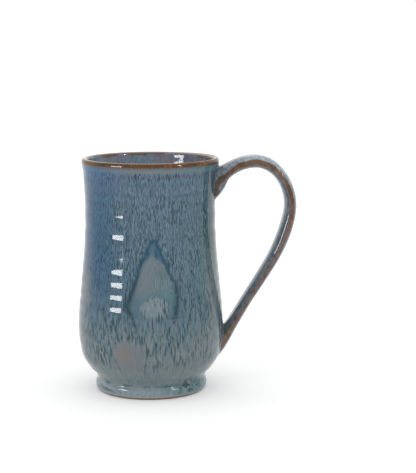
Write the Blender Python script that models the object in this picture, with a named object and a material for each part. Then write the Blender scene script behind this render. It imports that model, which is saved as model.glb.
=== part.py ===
"""A hand-thrown stoneware mug with a flared foot, a pulled strap handle and a coat of glaze.

Metres, +Z up. The mug stands on Z = 0 and its handle points along +X. The origin is under the
middle of the whole object, so the cup's own axis lies a little towards -X.

The clay pieces are the cup body, the foot ring, the handle and the two joints that hold it. Each
glaze coat is a thin shell over the clay. Every outline below is the finished, glazed surface, and
the clay lies a coat's thickness and a small gap inside it.
"""

import math

import bmesh
import bpy
import numpy as np
from mathutils import Matrix, Vector

MM = 0.001

# Driving dimensions
RIM_HEIGHT = 130.0 * MM
BELLY_RADIUS = 40.6 * MM
FOOT_HEIGHT = 7.0 * MM
# How far the smooth curve through the handle's stations reaches from the cup's own axis
HANDLE_REACH = 81.3 * MM
GLAZE = 0.5 * MM
GAP = 0.3 * MM
SEGMENTS = 40
CLAY_DEPTH = GLAZE + GAP
AXIS_X = (BELLY_RADIUS - HANDLE_REACH) / 2.0

# The outside of the wall, as (radius, height) from the crease above the foot to the lip
OUTER_WALL = [
    (30.0 * MM, 7.3 * MM),
    (31.7 * MM, 10.0 * MM),
    (35.3 * MM, 14.2 * MM),
    (38.9 * MM, 21.5 * MM),
    (BELLY_RADIUS, 37.0 * MM),
    (38.6 * MM, 61.0 * MM),
    (36.6 * MM, 84.0 * MM),
    (36.2 * MM, 103.0 * MM),
    (36.9 * MM, 120.0 * MM),
    (37.9 * MM, 127.9 * MM),
]
OUTER_STEPS = 13

# The inside of the wall and the floor, from the lip down to the axis
INNER_WALL = [
    (34.3 * MM, 127.9 * MM),
    (33.2 * MM, 120.0 * MM),
    (32.2 * MM, 103.0 * MM),
    (32.3 * MM, 84.0 * MM),
    (34.0 * MM, 61.0 * MM),
    (35.5 * MM, 38.0 * MM),
    (33.9 * MM, 25.0 * MM),
    (28.6 * MM, 16.0 * MM),
    (18.0 * MM, 12.4 * MM),
    (0.0, 12.0 * MM),
]
INNER_STEPS = 10

# The lip is half an ellipse, and its brown glaze reaches a little way down both sides
LIP_CENTRE = Vector((36.1 * MM, 127.9 * MM))
LIP_HALF_WIDTH = 1.8 * MM
LIP_STEPS = 6
RIM_GLAZE_DEPTH = 3.4 * MM

# The foot ring
FOOT_OUTLINE = [
    (25.4 * MM, 0.0),
    (29.3 * MM, 0.0),
    (30.1 * MM, 0.6 * MM),
    (30.4 * MM, 2.4 * MM),
    (29.9 * MM, 5.0 * MM),
    (29.2 * MM, FOOT_HEIGHT),
    (24.5 * MM, FOOT_HEIGHT),
    (24.7 * MM, 1.0 * MM),
]
FOOT_GLAZE_OUTLINE = [
    (30.95 * MM, 0.8 * MM),
    (31.2 * MM, 2.4 * MM),
    (30.7 * MM, 5.0 * MM),
    (30.05 * MM, 6.7 * MM),
]
BOSS_RADIUS = 24.2 * MM
BOSS_BOTTOM = 4.0 * MM
CUP_BOTTOM = FOOT_HEIGHT + GAP
CUP_BOTTOM_RADIUS = 28.9 * MM

# The handle in its plane of symmetry: where its back and its hollow side pass, as (distance from the
# cup's axis, height), and half its width across that plane. The first and last rows are in the wall.
HANDLE_STATIONS = [
    ((31.0 * MM, 121.6 * MM), (31.0 * MM, 103.4 * MM), 11.2 * MM),
    ((36.4 * MM, 123.9 * MM), (36.5 * MM, 107.1 * MM), 11.0 * MM),
    ((41.4 * MM, 126.5 * MM), (40.4 * MM, 111.6 * MM), 10.4 * MM),
    ((47.2 * MM, 129.3 * MM), (44.0 * MM, 118.4 * MM), 10.0 * MM),
    ((53.6 * MM, 131.1 * MM), (51.2 * MM, 122.9 * MM), 9.8 * MM),
    ((60.0 * MM, 131.5 * MM), (58.9 * MM, 124.2 * MM), 9.6 * MM),
    ((67.0 * MM, 129.5 * MM), (64.4 * MM, 122.6 * MM), 9.5 * MM),
    ((73.3 * MM, 124.4 * MM), (69.0 * MM, 119.0 * MM), 9.4 * MM),
    ((78.4 * MM, 116.6 * MM), (72.4 * MM, 113.5 * MM), 9.3 * MM),
    ((81.0 * MM, 107.8 * MM), (74.3 * MM, 106.6 * MM), 9.2 * MM),
    ((81.0 * MM, 98.6 * MM), (74.1 * MM, 99.0 * MM), 9.0 * MM),
    ((78.1 * MM, 86.8 * MM), (71.2 * MM, 88.6 * MM), 8.8 * MM),
    ((72.3 * MM, 73.9 * MM), (66.0 * MM, 76.0 * MM), 8.5 * MM),
    ((64.0 * MM, 60.4 * MM), (58.5 * MM, 63.0 * MM), 8.1 * MM),
    ((55.1 * MM, 46.7 * MM), (50.6 * MM, 50.2 * MM), 7.8 * MM),
    ((48.5 * MM, 35.3 * MM), (44.9 * MM, 40.8 * MM), 7.7 * MM),
    ((44.2 * MM, 27.1 * MM), (41.4 * MM, 35.8 * MM), 8.1 * MM),
    ((39.6 * MM, 19.9 * MM), (37.2 * MM, 31.6 * MM), 8.5 * MM),
    ((34.0 * MM, 13.9 * MM), (33.0 * MM, 28.0 * MM), 8.7 * MM),
]
STEPS_PER_STATION = 2
SECTION_POINTS = 12
SECTION_SQUARENESS = 2.4
UPPER_JOINT_STEPS = 5
LOWER_JOINT_STEPS = 6

CLAY_COLOUR = (0.36, 0.22, 0.13)
RAW_FOOT_COLOUR = (0.30, 0.18, 0.10)
BLUE_GLAZE = (0.15, 0.18, 0.22)
LINER_GLAZE = (0.16, 0.17, 0.20)
BROWN_GLAZE = (0.15, 0.08, 0.045)
FOOT_GLAZE = (0.17, 0.18, 0.22)
HANDLE_GLAZE = (0.15, 0.16, 0.18)


def clear_scene():
    for old in list(bpy.data.objects):
        bpy.data.objects.remove(old, do_unlink=True)


def ceramic(name, colour, roughness):
    """A plain ceramic material."""
    material = bpy.data.materials.new(name)
    material.use_nodes = True
    shader = material.node_tree.nodes["Principled BSDF"]
    shader.inputs["Base Color"].default_value = (*colour, 1.0)
    shader.inputs["Roughness"].default_value = roughness
    shader.inputs["Metallic"].default_value = 0.0
    return material


def smooth_curve(points, steps):
    """The smooth curve through the given points, with this many steps from each to the next."""
    rows = [np.array(point, float) for point in points]
    rows = [2 * rows[0] - rows[1], *rows, 2 * rows[-1] - rows[-2]]
    curve = []
    for before, start, end, after in zip(rows, rows[1:], rows[2:], rows[3:]):
        for step in range(steps):
            t = step / steps
            straight = 2 * start + (end - before) * t
            bend = (2 * before - 5 * start + 4 * end - after) * t**2
            twist = (3 * start - before - 3 * end + after) * t**3
            curve.append((straight + bend + twist) / 2)
    curve.append(rows[-2])
    return curve


def stretch(points, low, high, steps):
    """Even steps between two heights of an outline that rises, or falls, all the way."""
    fine = np.array(sorted(map(tuple, smooth_curve(points, 16)), key=lambda point: point[1]))
    heights = np.linspace(low, high, steps + 1)
    return [(float(np.interp(height, fine[:, 1], fine[:, 0])), float(height)) for height in heights]


def inset(outline, depth):
    """The outline moved to its left by the depth, which is into the clay."""
    points = np.array(outline)
    along = np.gradient(points, axis=0)
    along /= np.linalg.norm(along, axis=1)[:, None]
    left = np.stack([-along[:, 1], along[:, 0]], axis=1)
    moved = points + left * depth
    return [(max(0.0, float(radius)), float(height)) for radius, height in moved]


def outer_wall(low=OUTER_WALL[0][1], high=OUTER_WALL[-1][1], steps=OUTER_STEPS):
    return stretch(OUTER_WALL, low, high, steps)


def lip():
    """The rounded top of the wall, from its outer side to its inner side."""
    half_height = RIM_HEIGHT - LIP_CENTRE.y
    turns = [math.pi * step / LIP_STEPS for step in range(LIP_STEPS + 1)]
    return [
        (LIP_CENTRE.x + LIP_HALF_WIDTH * math.cos(turn), LIP_CENTRE.y + half_height * math.sin(turn))
        for turn in turns
    ]


def inner_wall(top):
    """The inside from the given height down to the axis, with even steps along its length."""
    fine = [tuple(point) for point in smooth_curve(INNER_WALL, 16)]
    below = np.array([point for point in fine if point[1] < top])
    first = np.array(stretch(INNER_WALL[:3], top, top, 0)[0])
    curve = np.vstack([first, below])
    lengths = np.r_[0.0, np.cumsum(np.linalg.norm(np.diff(curve, axis=0), axis=1))]
    wanted = np.linspace(0.0, lengths[-1], INNER_STEPS + 1)
    radii = np.interp(wanted, lengths, curve[:, 0])
    heights = np.interp(wanted, lengths, curve[:, 1])
    return list(zip(radii.tolist(), heights.tolist()))


def whole_outline():
    """The finished surface from the crease above the foot, over the lip, to the middle of the floor."""
    return outer_wall()[:-1] + lip() + inner_wall(LIP_CENTRE.y)[1:]


def new_object(name, mesh_builder, parent, material=None):
    """An object from a bmesh that the builder fills, smooth where its faces meet at a low angle."""
    shape = bmesh.new()
    mesh_builder(shape)
    bmesh.ops.remove_doubles(shape, verts=shape.verts, dist=1e-7)
    bmesh.ops.recalc_face_normals(shape, faces=shape.faces)
    mesh = bpy.data.meshes.new(name)
    shape.to_mesh(mesh)
    shape.free()
    mesh.shade_smooth()
    mesh.set_sharp_from_angle(angle=math.radians(40.0))
    if material:
        mesh.materials.append(material)
    made = bpy.data.objects.new(name, mesh)
    bpy.context.scene.collection.objects.link(made)
    made.parent = parent
    return made


def turned(name, outline, parent, material=None):
    """A solid of revolution. Its outline is closed, or starts and ends on the axis."""

    def build(shape):
        corners = [shape.verts.new((radius, 0.0, height)) for radius, height in outline]
        pairs = list(zip(corners, corners[1:]))
        if outline[0][0] > 0.0 or outline[-1][0] > 0.0:
            pairs.append((corners[-1], corners[0]))
        edges = [shape.edges.new(pair) for pair in pairs]
        bmesh.ops.spin(
            shape,
            geom=corners + edges,
            axis=(0.0, 0.0, 1.0),
            cent=(0.0, 0.0, 0.0),
            angle=math.tau,
            steps=SEGMENTS,
            use_merge=True,
        )

    return new_object(name, build, parent, material)


def strap_rows(depth):
    """Rings of points round the strap, this far inside its finished surface."""
    stations = [(*back, *hollow, half_width) for back, hollow, half_width in HANDLE_STATIONS]
    rings = []
    for back_x, back_z, hollow_x, hollow_z, half_width in smooth_curve(stations, STEPS_PER_STATION):
        back = Vector((back_x, 0.0, back_z))
        hollow = Vector((hollow_x, 0.0, hollow_z))
        middle = (back + hollow) / 2
        across = (back - hollow).normalized()
        half_thickness = (back - hollow).length / 2 - depth
        rings.append(strap_ring(middle, across, half_thickness, half_width - depth))
    return rings


def strap_ring(middle, across, half_thickness, half_width):
    """An oval a little squarer than an ellipse."""
    power = 2.0 / SECTION_SQUARENESS
    ring = []
    for step in range(SECTION_POINTS):
        turn = math.tau * step / SECTION_POINTS
        out = math.copysign(abs(math.cos(turn)) ** power, math.cos(turn)) * half_thickness
        side = math.copysign(abs(math.sin(turn)) ** power, math.sin(turn)) * half_width
        ring.append(middle + across * out + Vector((0.0, side, 0.0)))
    return ring


def bridge(shape, first, second):
    """Faces between two closed rings of vertices."""
    for near in range(len(first)):
        far = (near + 1) % len(first)
        shape.faces.new((first[near], first[far], second[far], second[near]))


def strap(name, rings, parent, material=None):
    """A solid through the rings, with flat ends."""

    def build(shape):
        rows = [[shape.verts.new(point) for point in ring] for ring in rings]
        for first, second in zip(rows, rows[1:]):
            bridge(shape, first, second)
        shape.faces.new(rows[0])
        shape.faces.new(rows[-1])

    return new_object(name, build, parent, material)


def sleeve(name, outer_rings, inner_rings, parent, material):
    """A skin between two sets of rings, open at both ends."""

    def build(shape):
        outer = [[shape.verts.new(point) for point in ring] for ring in outer_rings]
        inner = [[shape.verts.new(point) for point in ring] for ring in inner_rings]
        for rows in (outer, inner):
            for first, second in zip(rows, rows[1:]):
                bridge(shape, first, second)
        for end in (0, -1):
            bridge(shape, outer[end], inner[end])

    return new_object(name, build, parent, material)


def moved_along(ring, towards, distance):
    """A ring moved towards the middle of another ring."""
    middle = sum(ring, Vector()) / len(ring)
    target = sum(towards, Vector()) / len(towards)
    return [point + (target - middle).normalized() * distance for point in ring]


def cut(target, cutter):
    boolean = target.modifiers.new("cut_by_" + cutter.name, "BOOLEAN")
    boolean.operation = "DIFFERENCE"
    boolean.object = cutter
    boolean.solver = "EXACT"


def helper(made):
    """Marks a cutter, which isn't part of the mug."""
    made.hide_render = True
    made.display_type = "WIRE"
    return made


def wall_clearance(name, distance, parent):
    """A cutter that holds the cup, grown by the distance outside its finished surface."""
    wall = inset(outer_wall(), -distance)
    floor = [(0.0, wall[0][1]), wall[0]]
    return helper(turned(name, floor + wall[1:] + [(0.0, wall[-1][1])], parent))


def make_cup_body(parent):
    clay = inset(whole_outline(), CLAY_DEPTH)
    below = [(0.0, BOSS_BOTTOM), (BOSS_RADIUS, BOSS_BOTTOM), (BOSS_RADIUS, CUP_BOTTOM)]
    below.append((CUP_BOTTOM_RADIUS, CUP_BOTTOM))
    clay[-1] = (0.0, clay[-1][1])
    turned("cup_body", below + clay, parent, ceramic("cup_clay", CLAY_COLOUR, 0.8))


def make_foot_ring(parent):
    turned("foot_ring", FOOT_OUTLINE, parent, ceramic("foot_clay", RAW_FOOT_COLOUR, 0.85))


def coat(name, outline, parent, material):
    """A glaze coat whose outer face follows the outline."""
    under = inset(outline, GLAZE)
    on_axis = outline[-1][0] == 0.0
    if on_axis:
        under[-1] = (0.0, under[-1][1])
        return turned(name, under[::-1] + outline, parent, material)
    return turned(name, outline + under[::-1], parent, material)


def make_glaze_coats(parent, strap_cutter):
    rim_bottom = RIM_HEIGHT - RIM_GLAZE_DEPTH
    outside = outer_wall(high=rim_bottom - GAP)
    outer = coat("outer_glaze", outside, parent, ceramic("outer_glaze", BLUE_GLAZE, 0.2))
    cut(outer, strap_cutter)

    outer_side = outer_wall(low=rim_bottom, steps=1)[:-1]
    inner_side = stretch(INNER_WALL[:3], rim_bottom, rim_bottom, 0)
    rim = outer_side + lip() + inner_side
    coat("rim_glaze", rim, parent, ceramic("rim_glaze", BROWN_GLAZE, 0.2))

    liner = inner_wall(rim_bottom - GAP)
    coat("liner_glaze", liner, parent, ceramic("liner_glaze", LINER_GLAZE, 0.2))
    coat("foot_glaze", FOOT_GLAZE_OUTLINE, parent, ceramic("foot_glaze", FOOT_GLAZE, 0.25))


def make_handle(parent):
    """The strap, the joint at each end and the glaze over them all."""
    rings = strap_rows(CLAY_DEPTH)
    clay_clearance = wall_clearance("clearance_of_clay", GAP - CLAY_DEPTH, parent)
    glaze_clearance = wall_clearance("clearance_of_glaze", GAP, parent)
    joint_clay = ceramic("joint_clay", CLAY_COLOUR, 0.8)

    upper = strap("upper_joint", rings[: UPPER_JOINT_STEPS + 1], parent, joint_clay)
    cut(upper, clay_clearance)
    lower = strap("lower_joint", rings[-LOWER_JOINT_STEPS - 1 :], parent, joint_clay)
    cut(lower, clay_clearance)

    middle = rings[UPPER_JOINT_STEPS : len(rings) - LOWER_JOINT_STEPS]
    middle[0] = moved_along(middle[0], middle[1], GAP)
    middle[-1] = moved_along(middle[-1], middle[-2], GAP)
    strap("handle", middle, parent, ceramic("handle_clay", CLAY_COLOUR, 0.8))

    glaze = ceramic("handle_glaze", HANDLE_GLAZE, 0.2)
    coating = sleeve("handle_glaze", strap_rows(0.0), strap_rows(GLAZE), parent, glaze)
    cut(coating, glaze_clearance)


def main():
    clear_scene()
    cup_axis = bpy.data.objects.new("cup_axis", None)
    cup_axis.matrix_world = Matrix.Translation((AXIS_X, 0.0, 0.0))
    bpy.context.scene.collection.objects.link(cup_axis)
    strap_cutter = helper(strap("room_for_joints", strap_rows(GLAZE), cup_axis))
    make_cup_body(cup_axis)
    make_foot_ring(cup_axis)
    make_glaze_coats(cup_axis, strap_cutter)
    make_handle(cup_axis)


main()
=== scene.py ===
"""The finished look of the hand-thrown stoneware mug: its clay, its streaked glaze and the studio."""

import math

import bpy
import numpy as np
from mathutils import Euler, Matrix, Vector, noise


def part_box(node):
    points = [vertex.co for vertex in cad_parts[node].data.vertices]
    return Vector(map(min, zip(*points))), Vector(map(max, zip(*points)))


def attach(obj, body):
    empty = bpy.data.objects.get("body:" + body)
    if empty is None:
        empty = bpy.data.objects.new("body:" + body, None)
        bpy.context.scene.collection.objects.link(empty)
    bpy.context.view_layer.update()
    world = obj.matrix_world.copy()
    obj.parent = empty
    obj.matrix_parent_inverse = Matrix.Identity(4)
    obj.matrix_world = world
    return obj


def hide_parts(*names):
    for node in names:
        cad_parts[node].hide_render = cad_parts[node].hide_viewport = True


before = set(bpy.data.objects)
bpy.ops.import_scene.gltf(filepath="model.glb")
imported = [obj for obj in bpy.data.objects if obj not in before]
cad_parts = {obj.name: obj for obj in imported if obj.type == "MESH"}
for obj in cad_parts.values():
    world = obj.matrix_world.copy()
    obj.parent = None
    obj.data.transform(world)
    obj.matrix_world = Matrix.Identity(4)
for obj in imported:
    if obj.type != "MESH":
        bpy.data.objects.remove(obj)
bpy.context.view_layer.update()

MM = 0.001


# ---------------------------------------------------------------- sizes from the frame
def half_width(node):
    """Half of the node's width along Y, which is its radius where it is turned."""
    low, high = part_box(node)
    return (high[1] - low[1]) / 2.0


FOOT_LOW, FOOT_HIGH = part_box("foot_ring")
AXIS_X = (FOOT_LOW[0] + FOOT_HIGH[0]) / 2.0
FOOT_HEIGHT = FOOT_HIGH[2]
FOOT_RADIUS = half_width("foot_glaze")
BELLY_RADIUS = half_width("outer_glaze")
LIP_RADIUS = half_width("rim_glaze")
RIM_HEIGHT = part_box("rim_glaze")[1][2]
RECESS_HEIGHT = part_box("cup_body")[0][2]
HANDLE_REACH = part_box("handle_glaze")[1][0] - AXIS_X
GLAZE = 0.5 * MM
CLAY_DEPTH = 0.52 * MM
SEAM = 0.01 * MM

# ---------------------------------------------------------------- outlines, as (radius, height)
LIP_BASE = RIM_HEIGHT - 2.1 * MM
LIP_HALF_WIDTH = 1.8 * MM
LIP_ROUNDNESS = 0.82
OUTER_OUTLINE = [
    (30.75 * MM, 0.55 * MM),
    (FOOT_RADIUS, 2.4 * MM),
    (31.03 * MM, 5.1 * MM),
    (30.0 * MM, FOOT_HEIGHT),
    (31.7 * MM, 10.0 * MM),
    (35.3 * MM, 14.2 * MM),
    (38.9 * MM, 21.5 * MM),
    (BELLY_RADIUS, 37.0 * MM),
    (38.7 * MM, 61.0 * MM),
    (36.65 * MM, 84.0 * MM),
    (36.2 * MM, 103.0 * MM),
    (36.9 * MM, 120.0 * MM),
    (LIP_RADIUS, LIP_BASE),
]
INNER_OUTLINE = [
    (LIP_RADIUS - 2 * LIP_HALF_WIDTH, LIP_BASE),
    (33.2 * MM, 120.0 * MM),
    (32.2 * MM, 103.0 * MM),
    (32.3 * MM, 84.0 * MM),
    (34.0 * MM, 61.0 * MM),
    (35.5 * MM, 38.0 * MM),
    (33.9 * MM, 25.0 * MM),
    (28.6 * MM, 16.0 * MM),
    (18.0 * MM, 12.4 * MM),
    (0.0, 12.0 * MM),
]
RIM_GLAZE_DEPTH = 3.0 * MM

# The strap in its plane of symmetry: back (x, z), hollow side (x, z) and half width, from the cup's axis
HANDLE_STATIONS = [
    (31.0, 121.6, 31.0, 103.4, 11.2),
    (36.4, 123.9, 36.5, 107.1, 11.0),
    (41.4, 126.5, 40.4, 111.6, 10.4),
    (47.2, 129.3, 44.0, 118.4, 10.0),
    (53.6, 131.1, 51.2, 122.9, 9.8),
    (60.0, 131.5, 58.9, 124.2, 9.6),
    (67.0, 129.5, 64.4, 122.6, 9.5),
    (73.3, 124.4, 69.0, 119.0, 9.4),
    (78.4, 116.6, 72.4, 113.5, 9.3),
    (81.0, 107.8, 74.3, 106.6, 9.2),
    (81.0, 98.6, 74.1, 99.0, 9.0),
    (78.1, 86.8, 71.2, 88.6, 8.8),
    (72.3, 73.9, 66.0, 76.0, 8.5),
    (64.0, 60.4, 58.5, 63.0, 8.1),
    (55.1, 46.7, 50.6, 50.2, 7.8),
    (48.5, 35.3, 44.9, 40.8, 7.7),
    (44.2, 27.1, 41.4, 35.8, 8.1),
    (39.6, 19.9, 37.2, 31.6, 8.5),
    (34.0, 13.9, 33.0, 28.0, 8.7),
]

# Throwing rings: (height in mm, strength) of each place where the wall steps in as it rises
THROWING_RINGS = [
    (24.0, 0.4), (31.0, 0.5), (38.0, 0.5), (44.8, 0.4), (51.3, 0.9), (57.8, 0.9), (64.3, 0.8), (71.1, 0.42),
    (77.8, 0.10), (90.2, 0.76), (96.0, 0.1), (101.3, 0.69), (107.5, 0.3), (113.0, 0.35), (119.0, 0.3),
]
RING_SLOPE = 0.135
RING_WIDTH = 2.2 * MM
NECK_RINGS = THROWING_RINGS[-3:]


# ---------------------------------------------------------------- small maths
def smooth_curve(points, steps):
    """The smooth curve through the given points, with this many steps from each to the next."""
    rows = [np.array(point, float) for point in points]
    rows = [2 * rows[0] - rows[1], *rows, 2 * rows[-1] - rows[-2]]
    curve = []
    for before, start, end, after in zip(rows, rows[1:], rows[2:], rows[3:]):
        for step in range(steps):
            t = step / steps
            straight = 2 * start + (end - before) * t
            bend = (2 * before - 5 * start + 4 * end - after) * t**2
            twist = (3 * start - before - 3 * end + after) * t**3
            curve.append((straight + bend + twist) / 2)
    curve.append(rows[-2])
    return np.array(curve)


def lengths_along(points):
    """How far along the line of points each one lies."""
    return np.r_[0.0, np.cumsum(np.linalg.norm(np.diff(points, axis=0), axis=1))]


def ramp(values, low, high):
    """0 below low, 1 above high, and a smooth rise between."""
    t = np.clip((values - low) / (high - low), 0.0, 1.0)
    return t * t * (3.0 - 2.0 * t)


def bell(values, centre, width):
    """1 at the centre, falling smoothly to nothing a few widths away."""
    return np.exp(-(((values - centre) / width) ** 2))


def stacked(x, y, z=0.0):
    """Points from their three coordinates, each of them an array or one number."""
    return np.stack(np.broadcast_arrays(x, y, z), axis=-1)


def lumps(points, size, seed):
    """Smooth noise from -1 to 1 at each of the points, with features about this size."""
    flat = np.asarray(points).reshape(-1, 3) / size
    shift = Vector((seed * 7.31, seed * 3.17, seed * 5.93))
    values = [noise.noise(Vector(point) + shift) for point in flat.tolist()]
    return np.array(values).reshape(np.asarray(points).shape[:-1])


# ---------------------------------------------------------------- the cup's finished surface
def lip_outline():
    """The rounded top of the lip, from outside to inside, a little squarer than a half ellipse."""
    centre = LIP_RADIUS - LIP_HALF_WIDTH
    turns = np.linspace(0.0, math.pi, 33)[1:-1]
    cosine, sine = np.cos(turns), np.sin(turns)
    across = centre + LIP_HALF_WIDTH * np.sign(cosine) * np.abs(cosine) ** LIP_ROUNDNESS
    up = LIP_BASE + (RIM_HEIGHT - LIP_BASE) * sine**LIP_ROUNDNESS
    return np.stack([across, up], axis=1)


def cup_profile():
    """(arc length, radius, height, outward direction) along the glaze from the foot's edge to the floor."""
    outline = np.vstack([smooth_curve(OUTER_OUTLINE, 24), lip_outline(), smooth_curve(INNER_OUTLINE, 24)])
    length = lengths_along(outline)
    even = np.linspace(0.0, length[-1], 2400)
    radius = np.interp(even, length, outline[:, 0])
    height = np.interp(even, length, outline[:, 1])
    window = np.hanning(13)
    window /= window.sum()
    for values in (radius, height):
        soft = np.convolve(np.pad(values, 6, "edge"), window, "valid")
        values[8:-8] = soft[8:-8]
    along = np.gradient(np.stack([radius, height], axis=1), axis=0)
    along /= np.linalg.norm(along, axis=1)[:, None]
    return even, radius, height, along[:, 1], -along[:, 0]


ARC, PROFILE_R, PROFILE_Z, NORMAL_R, NORMAL_Z = cup_profile()
ARC_CREST = ARC[np.argmax(PROFILE_Z)]
OUTSIDE = ARC <= ARC_CREST


def arc_at(height, outside=True):
    """Where along the profile the given height is passed, on the outside or the inside."""
    side = OUTSIDE if outside else ~OUTSIDE
    order = np.argsort(PROFILE_Z[side])
    return float(np.interp(height, PROFILE_Z[side][order], ARC[side][order]))


ARC_NECK = arc_at(FOOT_HEIGHT)
ARC_RIM_OUT = arc_at(RIM_HEIGHT - RIM_GLAZE_DEPTH)
ARC_RIM_IN = arc_at(RIM_HEIGHT - RIM_GLAZE_DEPTH, outside=False)


def cup_relief(front, arc):
    """How far the finished surface stands proud of its outline. front is the angle from the -Y side."""
    height = np.interp(arc, ARC, PROFILE_Z)
    outside = ramp(arc, ARC_CREST + 1 * MM, ARC_CREST - 1 * MM)
    circle = stacked(np.cos(front), np.sin(front), height / (30 * MM))
    uneven = lumps(circle, 0.8, 3)
    tilt = 0.35 * MM * np.sin(front + 1.0) + 0.25 * MM * np.sin(2 * front)
    rings = np.zeros_like(height)
    for ring_height, strength in THROWING_RINGS:
        away = height + tilt - ring_height * MM
        rings -= strength * RING_SLOPE * away * np.exp(-((away / RING_WIDTH) ** 2) / 2)
    relief = rings * (1.0 + 0.35 * uneven) * (outside + 0.7 * (1 - outside))
    relief += 0.10 * MM * lumps(circle, 1.7, 5) * ramp(height, 6 * MM, 30 * MM)
    handle_side = np.clip(np.sin(front), 0.0, 1.0) ** 2
    lean = 0.55 * MM * handle_side * ramp(height, 112 * MM, 129 * MM)
    relief += lean * (2 * outside - 1)
    return relief + outside * foot_relief(front, height) + outside * mark_relief(front, height)


DENT_ANGLE = -52.0
RIGHT_DRIPS_ANGLE = 44.0


def foot_relief(front, height):
    """The pressed dent, the glaze run into the crease above the foot, and the drips on it."""
    degrees = np.degrees(front)
    low = ramp(height, 12 * MM, 8 * MM)
    dent, ridge = foot_dent(degrees, height)
    pool = bell(height, FOOT_HEIGHT + 0.4 * MM, 1.6 * MM) * (1.2 + 0.5 * np.sin(5 * front))
    circle = stacked(np.cos(front), np.sin(front), height / (25 * MM))
    drips = ramp(lumps(circle, 0.16, 11), 0.05, 0.6) * bell(height, 4.6 * MM, 2.6 * MM)
    right_drips = 0.15 + 2.0 * bell(degrees, RIGHT_DRIPS_ANGLE, 20.0)
    hammered = 0.06 * MM * lumps(stacked(front * FOOT_RADIUS, height), 1.7 * MM, 77)
    drips = 0.22 * MM * drips * right_drips
    return low * (0.22 * MM * pool + drips + hammered) - 0.6 * MM * dent + 0.35 * MM * ridge


def foot_dent(degrees, height):
    """Where the foot was pressed in, slanting down to the right, and the ridge raised above it."""
    from_middle = degrees - DENT_ANGLE
    dent_line = height - (3.5 * MM - 0.055 * MM * (from_middle - 1.0))
    ridge_line = height - (5.3 * MM - 0.12 * MM * (from_middle - 1.0))
    dent = bell(from_middle, 0.0, 13.0) * bell(dent_line, 0.0, 1.0 * MM)
    ridge = bell(from_middle, 0.0, 17.0) * bell(ridge_line, 0.0, 0.95 * MM)
    return dent, ridge


# ---------------------------------------------------------------- the glaze run on the front
# Its two edges, as (height, distance round the wall from the front), in mm, from the tip down
RUN_LEFT = [(89.5, 2.4), (86.5, -0.5), (78.6, -3.9), (75.6, -5.5), (68.8, -7.5), (62.7, -9.5), (56.3, -12.0),
            (52.8, -12.5), (49.8, -11.1), (47.2, -9.6), (42.1, -7.8), (38.0, -6.8)]
RUN_RIGHT = [(89.5, 2.9), (85.7, 4.0), (78.4, 7.5), (71.7, 10.0), (65.3, 13.3), (61.1, 14.3), (56.1, 13.9),
             (49.5, 13.1), (46.9, 12.4), (38.0, 12.0)]
RUN_FRONT_RADIUS = 38.5
SPOT_ANGLE = -18.0
SPOT_HEIGHT = 25.9 * MM
SPOT_RADIUS = 9.8 * MM
SPOT_WALL_RADIUS = 39.0 * MM


def run_edges(height):
    """Distances round the wall of the run's left and right edges at each height, in mm."""
    edges = []
    for points in (RUN_LEFT, RUN_RIGHT):
        curve = smooth_curve(points[::-1], 8)
        edges.append(np.interp(height / MM, curve[:, 0], curve[:, 1]))
    return edges


def run_masks(front, height):
    """The run's outline, its blue tip, its smooth fill and its streaked lower middle, from 0 to 1."""
    round_wall = front * RUN_FRONT_RADIUS
    uneven = lumps(stacked(front * RUN_FRONT_RADIUS * MM, height), 2.2 * MM, 73)
    round_wall = round_wall + 0.55 * uneven
    left, right = run_edges(height + 0.5 * MM * uneven)
    upright = ramp(height, 46.5 * MM, 49.5 * MM) * ramp(height, 90.5 * MM, 89.0 * MM)
    inside = ramp(round_wall, left - 0.3, left + 0.5) * ramp(round_wall, right + 0.3, right - 0.5)
    thick = 1.0 + 0.5 * ramp(height, 70 * MM, 56 * MM)
    line = np.maximum(bell(round_wall, left + 0.1, 1.15 * thick), bell(round_wall, right, thick))
    tail = 0.8 * bell(round_wall, left, 0.9)
    tail = tail * ramp(height, 37 * MM, 42 * MM) * ramp(height, 51 * MM, 49 * MM)
    foot_of_right = bell(round_wall, 12.4, 2.9) * bell(height, 47.4 * MM, 1.0 * MM)
    inner_tip = 81.0 * MM - 0.78 * MM * np.abs(round_wall - 0.9)
    caret = inside * ramp(height, inner_tip - 0.2 * MM, inner_tip + 0.5 * MM)
    caret = caret * ramp(height, 91 * MM, 89 * MM)
    stroke = np.abs(round_wall - 0.9 - 0.06 * (height / MM - 81.0))
    strokes = inside * bell(stroke, 2.3, 1.1) * bell(height, inner_tip + 2.6 * MM, 2.6 * MM)
    line = np.maximum(line, strokes * ramp(height, 76.0 * MM, 78.0 * MM))
    drips = bell(round_wall, -8.4, 2.6) * bell(height, 44.0 * MM, 5.0 * MM) * ramp(uneven, 0.0, 0.45)
    ends = np.maximum(np.maximum(tail, drips), foot_of_right)
    outline = np.clip(np.maximum(line * upright, ends) * (1.0 + 0.5 * uneven), 0.0, 1.0)
    middle = ramp(round_wall, left + 6.0, left + 7.6) * ramp(round_wall, right - 3.4, right - 4.8)
    arch = 58.6 * MM - 0.075 * MM * (round_wall - 2.3) ** 2
    middle = middle * ramp(height - arch, 1.2 * MM, -1.2 * MM)
    fill = inside * upright
    return outline, caret, fill * (1 - middle), fill * middle


def spot_mask(front, height):
    """The round spot low on the left, from 0 to 1, with a streaky upper edge."""
    across = (front - math.radians(SPOT_ANGLE)) * SPOT_WALL_RADIUS
    uneven = lumps(stacked(across, height), 4.5 * MM, 71)
    away = np.hypot(across, height - SPOT_HEIGHT) + 1.5 * MM * uneven
    top = ramp(height, SPOT_HEIGHT - 4 * MM, SPOT_HEIGHT + 5 * MM)
    away = away + 1.6 * MM * lumps(stacked(across, height * 0.25), 0.9 * MM, 72) * top
    return ramp(away, SPOT_RADIUS * 1.06, SPOT_RADIUS * 0.74)


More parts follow.
